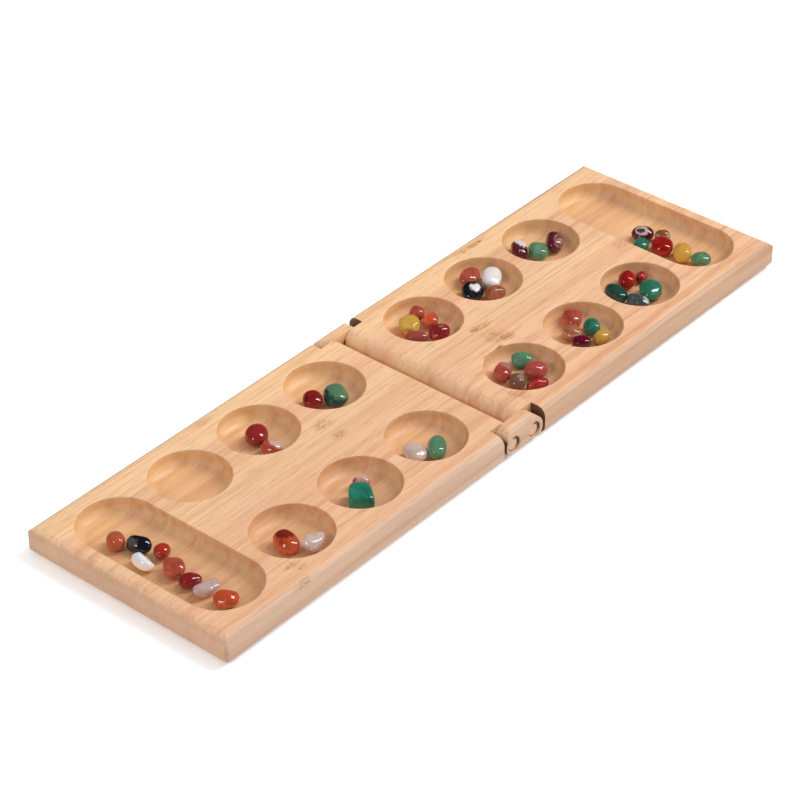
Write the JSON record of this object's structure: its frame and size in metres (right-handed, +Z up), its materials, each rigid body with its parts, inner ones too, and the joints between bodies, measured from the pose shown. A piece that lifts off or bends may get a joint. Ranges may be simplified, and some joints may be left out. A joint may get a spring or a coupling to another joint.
{
  "type": "mancala board",
  "caption": "Folding bamboo mancala board with round pits and a long store at each end, two dowelled link hinges and loose polished stones lying in the pits.",
  "frame": {"origin": "middle of the underside of the open board, between the two hinge links", "axes": "+X along the open board towards the far store, +Y across it towards the back edge, +Z up out of the pits"},
  "size_m": [0.422, 0.127, 0.0155],
  "materials": {
    "board_bamboo": "laminated bamboo, sanded and lightly oiled",
    "hinge_link_bamboo": "bamboo, sanded",
    "dowel_wood": "turned dowel, end grain showing",
    "stone_amber": "tumbled and polished stone",
    "stone_black": "tumbled and polished stone",
    "stone_brick": "tumbled and polished stone",
    "stone_brown": "tumbled and polished stone",
    "stone_clear": "tumbled and polished stone",
    "stone_crimson": "tumbled and polished stone",
    "stone_emerald": "tumbled and polished stone",
    "stone_forest": "tumbled and polished stone",
    "stone_grey": "tumbled and polished stone",
    "stone_jade": "tumbled and polished stone",
    "stone_lavender": "tumbled and polished stone",
    "stone_maroon": "tumbled and polished stone",
    "stone_orange": "tumbled and polished stone",
    "stone_red": "tumbled and polished stone",
    "stone_rose": "tumbled and polished stone",
    "stone_teal": "tumbled and polished stone",
    "stone_white": "tumbled and polished stone"
  },
  "bodies": {
    "near_half": {"near_board": "board_bamboo", "near_back_dowel": "dowel_wood", "near_front_dowel": "dowel_wood"},
    "front_link": {"front_hinge_link": "hinge_link_bamboo"},
    "back_link": {"back_hinge_link": "hinge_link_bamboo"},
    "far_half": {"far_board": "board_bamboo", "far_back_dowel": "dowel_wood", "far_front_dowel": "dowel_wood"},
    "stone_a2_1_crimson_piece": {"stone_a2_1_crimson": "stone_crimson"},
    "stone_a2_2_brick_piece": {"stone_a2_2_brick": "stone_brick"},
    "stone_a3_1_crimson_piece": {"stone_a3_1_crimson": "stone_crimson"},
    "stone_a3_2_forest_piece": {"stone_a3_2_forest": "stone_forest"},
    "stone_a4_1_amber_piece": {"stone_a4_1_amber": "stone_amber"},
    "stone_a4_2_brick_piece": {"stone_a4_2_brick": "stone_brick"},
    "stone_a4_3_orange_piece": {"stone_a4_3_orange": "stone_orange"},
    "stone_a4_4_maroon_piece": {"stone_a4_4_maroon": "stone_maroon"},
    "stone_a4_5_crimson_piece": {"stone_a4_5_crimson": "stone_crimson"},
    "stone_a5_1_brick_piece": {"stone_a5_1_brick": "stone_brick"},
    "stone_a5_2_black_piece": {"stone_a5_2_black": "stone_black"},
    "stone_a5_3_white_piece": {"stone_a5_3_white": "stone_white"},
    "stone_a5_4_brown_piece": {"stone_a5_4_brown": "stone_brown"},
    "stone_a6_1_maroon_piece": {"stone_a6_1_maroon": "stone_maroon"},
    "stone_a6_2_jade_piece": {"stone_a6_2_jade": "stone_jade"},
    "stone_a6_3_maroon_piece": {"stone_a6_3_maroon": "stone_maroon"},
    "stone_b1_1_orange_piece": {"stone_b1_1_orange": "stone_orange"},
    "stone_b1_2_clear_piece": {"stone_b1_2_clear": "stone_clear"},
    "stone_b2_1_emerald_piece": {"stone_b2_1_emerald": "stone_emerald"},
    "stone_b2_2_rose_piece": {"stone_b2_2_rose": "stone_rose"},
    "stone_b3_1_clear_piece": {"stone_b3_1_clear": "stone_clear"},
    "stone_b3_2_jade_piece": {"stone_b3_2_jade": "stone_jade"},
    "stone_b4_1_brick_piece": {"stone_b4_1_brick": "stone_brick"},
    "stone_b4_2_jade_piece": {"stone_b4_2_jade": "stone_jade"},
    "stone_b4_3_brown_piece": {"stone_b4_3_brown": "stone_brown"},
    "stone_b4_4_red_piece": {"stone_b4_4_red": "stone_red"},
    "stone_b4_5_crimson_piece": {"stone_b4_5_crimson": "stone_crimson"},
    "stone_b5_1_brick_piece": {"stone_b5_1_brick": "stone_brick"},
    "stone_b5_2_brown_piece": {"stone_b5_2_brown": "stone_brown"},
    "stone_b5_3_maroon_piece": {"stone_b5_3_maroon": "stone_maroon"},
    "stone_b5_4_teal_piece": {"stone_b5_4_teal": "stone_teal"},
    "stone_b5_5_amber_piece": {"stone_b5_5_amber": "stone_amber"},
    "stone_b6_1_red_piece": {"stone_b6_1_red": "stone_red"},
    "stone_b6_2_crimson_piece": {"stone_b6_2_crimson": "stone_crimson"},
    "stone_b6_3_forest_piece": {"stone_b6_3_forest": "stone_forest"},
    "stone_b6_4_grey_piece": {"stone_b6_4_grey": "stone_grey"},
    "stone_b6_5_teal_piece": {"stone_b6_5_teal": "stone_teal"},
    "stone_far_store_1_maroon_piece": {"stone_far_store_1_maroon": "stone_maroon"},
    "stone_far_store_2_teal_piece": {"stone_far_store_2_teal": "stone_teal"},
    "stone_far_store_3_red_piece": {"stone_far_store_3_red": "stone_red"},
    "stone_far_store_4_amber_piece": {"stone_far_store_4_amber": "stone_amber"},
    "stone_far_store_5_jade_piece": {"stone_far_store_5_jade": "stone_jade"},
    "stone_far_store_6_brown_piece": {"stone_far_store_6_brown": "stone_brown"},
    "stone_near_store_1_brown_piece": {"stone_near_store_1_brown": "stone_brown"},
    "stone_near_store_2_black_piece": {"stone_near_store_2_black": "stone_black"},
    "stone_near_store_3_white_piece": {"stone_near_store_3_white": "stone_white"},
    "stone_near_store_4_red_piece": {"stone_near_store_4_red": "stone_red"},
    "stone_near_store_5_brick_piece": {"stone_near_store_5_brick": "stone_brick"},
    "stone_near_store_6_crimson_piece": {"stone_near_store_6_crimson": "stone_crimson"},
    "stone_near_store_7_lavender_piece": {"stone_near_store_7_lavender": "stone_lavender"},
    "stone_near_store_8_orange_piece": {"stone_near_store_8_orange": "stone_orange"}
  },
  "joints": [
    {"name": "near_fold", "type": "hinge", "parent": "near_half", "child": "front_link", "pos_m": [-0.00785, -0.05915, 0.00775], "axis": [0, 1, 0], "range_deg": [-90, 0]},
    {"name": "near_fold_back", "type": "hinge", "parent": "near_half", "child": "back_link", "pos_m": [-0.00785, 0.05915, 0.00775], "axis": [0, 1, 0], "range_deg": [-90, 0]},
    {"name": "far_fold", "type": "hinge", "parent": "front_link", "child": "far_half", "pos_m": [0.00785, -0.05915, 0.00775], "axis": [0, 1, 0], "range_deg": [-90, 0]},
    {"name": "lift_stone_a2_1_crimson", "type": "slide", "parent": "near_half", "child": "stone_a2_1_crimson_piece", "axis": [0, 0, 1], "range_m": [0, 0.03]},
    {"name": "lift_stone_a2_2_brick", "type": "slide", "parent": "near_half", "child": "stone_a2_2_brick_piece", "axis": [0, 0, 1], "range_m": [0, 0.03]},
    {"name": "lift_stone_a3_1_crimson", "type": "slide", "parent": "near_half", "child": "stone_a3_1_crimson_piece", "axis": [0, 0, 1], "range_m": [0, 0.03]},
    {"name": "lift_stone_a3_2_forest", "type": "slide", "parent": "near_half", "child": "stone_a3_2_forest_piece", "axis": [0, 0, 1], "range_m": [0, 0.03]},
    {"name": "lift_stone_a4_1_amber", "type": "slide", "parent": "far_half", "child": "stone_a4_1_amber_piece", "axis": [0, 0, 1], "range_m": [0, 0.03]},
    {"name": "lift_stone_a4_2_brick", "type": "slide", "parent": "far_half", "child": "stone_a4_2_brick_piece", "axis": [0, 0, 1], "range_m": [0, 0.03]},
    {"name": "lift_stone_a4_3_orange", "type": "slide", "parent": "far_half", "child": "stone_a4_3_orange_piece", "axis": [0, 0, 1], "range_m": [0, 0.03]},
    {"name": "lift_stone_a4_4_maroon", "type": "slide", "parent": "far_half", "child": "stone_a4_4_maroon_piece", "axis": [0, 0, 1], "range_m": [0, 0.03]},
    {"name": "lift_stone_a4_5_crimson", "type": "slide", "parent": "far_half", "child": "stone_a4_5_crimson_piece", "axis": [0, 0, 1], "range_m": [0, 0.03]},
    {"name": "lift_stone_a5_1_brick", "type": "slide", "parent": "far_half", "child": "stone_a5_1_brick_piece", "axis": [0, 0, 1], "range_m": [0, 0.03]},
    {"name": "lift_stone_a5_2_black", "type": "slide", "parent": "far_half", "child": "stone_a5_2_black_piece", "axis": [0, 0, 1], "range_m": [0, 0.03]},
    {"name": "lift_stone_a5_3_white", "type": "slide", "parent": "far_half", "child": "stone_a5_3_white_piece", "axis": [0, 0, 1], "range_m": [0, 0.03]},
    {"name": "lift_stone_a5_4_brown", "type": "slide", "parent": "far_half", "child": "stone_a5_4_brown_piece", "axis": [0, 0, 1], "range_m": [0, 0.03]},
    {"name": "lift_stone_a6_1_maroon", "type": "slide", "parent": "far_half", "child": "stone_a6_1_maroon_piece", "axis": [0, 0, 1], "range_m": [0, 0.03]},
    {"name": "lift_stone_a6_2_jade", "type": "slide", "parent": "far_half", "child": "stone_a6_2_jade_piece", "axis": [0, 0, 1], "range_m": [0, 0.03]},
    {"name": "lift_stone_a6_3_maroon", "type": "slide", "parent": "far_half", "child": "stone_a6_3_maroon_piece", "axis": [0, 0, 1], "range_m": [0, 0.03]},
    {"name": "lift_stone_b1_1_orange", "type": "slide", "parent": "near_half", "child": "stone_b1_1_orange_piece", "axis": [0, 0, 1], "range_m": [0, 0.03]},
    {"name": "lift_stone_b1_2_clear", "type": "slide", "parent": "near_half", "child": "stone_b1_2_clear_piece", "axis": [0, 0, 1], "range_m": [0, 0.03]},
    {"name": "lift_stone_b2_1_emerald", "type": "slide", "parent": "near_half", "child": "stone_b2_1_emerald_piece", "axis": [0, 0, 1], "range_m": [0, 0.03]},
    {"name": "lift_stone_b2_2_rose", "type": "slide", "parent": "near_half", "child": "stone_b2_2_rose_piece", "axis": [0, 0, 1], "range_m": [0, 0.03]},
    {"name": "lift_stone_b3_1_clear", "type": "slide", "parent": "near_half", "child": "stone_b3_1_clear_piece", "axis": [0, 0, 1], "range_m": [0, 0.03]},
    {"name": "lift_stone_b3_2_jade", "type": "slide", "parent": "near_half", "child": "stone_b3_2_jade_piece", "axis": [0, 0, 1], "range_m": [0, 0.03]},
    {"name": "lift_stone_b4_1_brick", "type": "slide", "parent": "far_half", "child": "stone_b4_1_brick_piece", "axis": [0, 0, 1], "range_m": [0, 0.03]},
    {"name": "lift_stone_b4_2_jade", "type": "slide", "parent": "far_half", "child": "stone_b4_2_jade_piece", "axis": [0, 0, 1], "range_m": [0, 0.03]},
    {"name": "lift_stone_b4_3_brown", "type": "slide", "parent": "far_half", "child": "stone_b4_3_brown_piece", "axis": [0, 0, 1], "range_m": [0, 0.03]},
    {"name": "lift_stone_b4_4_red", "type": "slide", "parent": "far_half", "child": "stone_b4_4_red_piece", "axis": [0, 0, 1], "range_m": [0, 0.03]},
    {"name": "lift_stone_b4_5_crimson", "type": "slide", "parent": "far_half", "child": "stone_b4_5_crimson_piece", "axis": [0, 0, 1], "range_m": [0, 0.03]},
    {"name": "lift_stone_b5_1_brick", "type": "slide", "parent": "far_half", "child": "stone_b5_1_brick_piece", "axis": [0, 0, 1], "range_m": [0, 0.03]},
    {"name": "lift_stone_b5_2_brown", "type": "slide", "parent": "far_half", "child": "stone_b5_2_brown_piece", "axis": [0, 0, 1], "range_m": [0, 0.03]},
    {"name": "lift_stone_b5_3_maroon", "type": "slide", "parent": "far_half", "child": "stone_b5_3_maroon_piece", "axis": [0, 0, 1], "range_m": [0, 0.03]},
    {"name": "lift_stone_b5_4_teal", "type": "slide", "parent": "far_half", "child": "stone_b5_4_teal_piece", "axis": [0, 0, 1], "range_m": [0, 0.03]},
    {"name": "lift_stone_b5_5_amber", "type": "slide", "parent": "far_half", "child": "stone_b5_5_amber_piece", "axis": [0, 0, 1], "range_m": [0, 0.03]},
    {"name": "lift_stone_b6_1_red", "type": "slide", "parent": "far_half", "child": "stone_b6_1_red_piece", "axis": [0, 0, 1], "range_m": [0, 0.03]},
    {"name": "lift_stone_b6_2_crimson", "type": "slide", "parent": "far_half", "child": "stone_b6_2_crimson_piece", "axis": [0, 0, 1], "range_m": [0, 0.03]},
    {"name": "lift_stone_b6_3_forest", "type": "slide", "parent": "far_half", "child": "stone_b6_3_forest_piece", "axis": [0, 0, 1], "range_m": [0, 0.03]},
    {"name": "lift_stone_b6_4_grey", "type": "slide", "parent": "far_half", "child": "stone_b6_4_grey_piece", "axis": [0, 0, 1], "range_m": [0, 0.03]},
    {"name": "lift_stone_b6_5_teal", "type": "slide", "parent": "far_half", "child": "stone_b6_5_teal_piece", "axis": [0, 0, 1], "range_m": [0, 0.03]},
    {"name": "lift_stone_far_store_1_maroon", "type": "slide", "parent": "far_half", "child": "stone_far_store_1_maroon_piece", "axis": [0, 0, 1], "range_m": [0, 0.03]},
    {"name": "lift_stone_far_store_2_teal", "type": "slide", "parent": "far_half", "child": "stone_far_store_2_teal_piece", "axis": [0, 0, 1], "range_m": [0, 0.03]},
    {"name": "lift_stone_far_store_3_red", "type": "slide", "parent": "far_half", "child": "stone_far_store_3_red_piece", "axis": [0, 0, 1], "range_m": [0, 0.03]},
    {"name": "lift_stone_far_store_4_amber", "type": "slide", "parent": "far_half", "child": "stone_far_store_4_amber_piece", "axis": [0, 0, 1], "range_m": [0, 0.03]},
    {"name": "lift_stone_far_store_5_jade", "type": "slide", "parent": "far_half", "child": "stone_far_store_5_jade_piece", "axis": [0, 0, 1], "range_m": [0, 0.03]},
    {"name": "lift_stone_far_store_6_brown", "type": "slide", "parent": "far_half", "child": "stone_far_store_6_brown_piece", "axis": [0, 0, 1], "range_m": [0, 0.03]},
    {"name": "lift_stone_near_store_1_brown", "type": "slide", "parent": "near_half", "child": "stone_near_store_1_brown_piece", "axis": [0, 0, 1], "range_m": [0, 0.03]},
    {"name": "lift_stone_near_store_2_black", "type": "slide", "parent": "near_half", "child": "stone_near_store_2_black_piece", "axis": [0, 0, 1], "range_m": [0, 0.03]},
    {"name": "lift_stone_near_store_3_white", "type": "slide", "parent": "near_half", "child": "stone_near_store_3_white_piece", "axis": [0, 0, 1], "range_m": [0, 0.03]},
    {"name": "lift_stone_near_store_4_red", "type": "slide", "parent": "near_half", "child": "stone_near_store_4_red_piece", "axis": [0, 0, 1], "range_m": [0, 0.03]},
    {"name": "lift_stone_near_store_5_brick", "type": "slide", "parent": "near_half", "child": "stone_near_store_5_brick_piece", "axis": [0, 0, 1], "range_m": [0, 0.03]},
    {"name": "lift_stone_near_store_6_crimson", "type": "slide", "parent": "near_half", "child": "stone_near_store_6_crimson_piece", "axis": [0, 0, 1], "range_m": [0, 0.03]},
    {"name": "lift_stone_near_store_7_lavender", "type": "slide", "parent": "near_half", "child": "stone_near_store_7_lavender_piece", "axis": [0, 0, 1], "range_m": [0, 0.03]},
    {"name": "lift_stone_near_store_8_orange", "type": "slide", "parent": "near_half", "child": "stone_near_store_8_orange_piece", "axis": [0, 0, 1], "range_m": [0, 0.03]}
  ],
  "couplings": [
    {"joint": "near_fold_back", "follows": "near_fold", "ratio": 1}
  ]
}
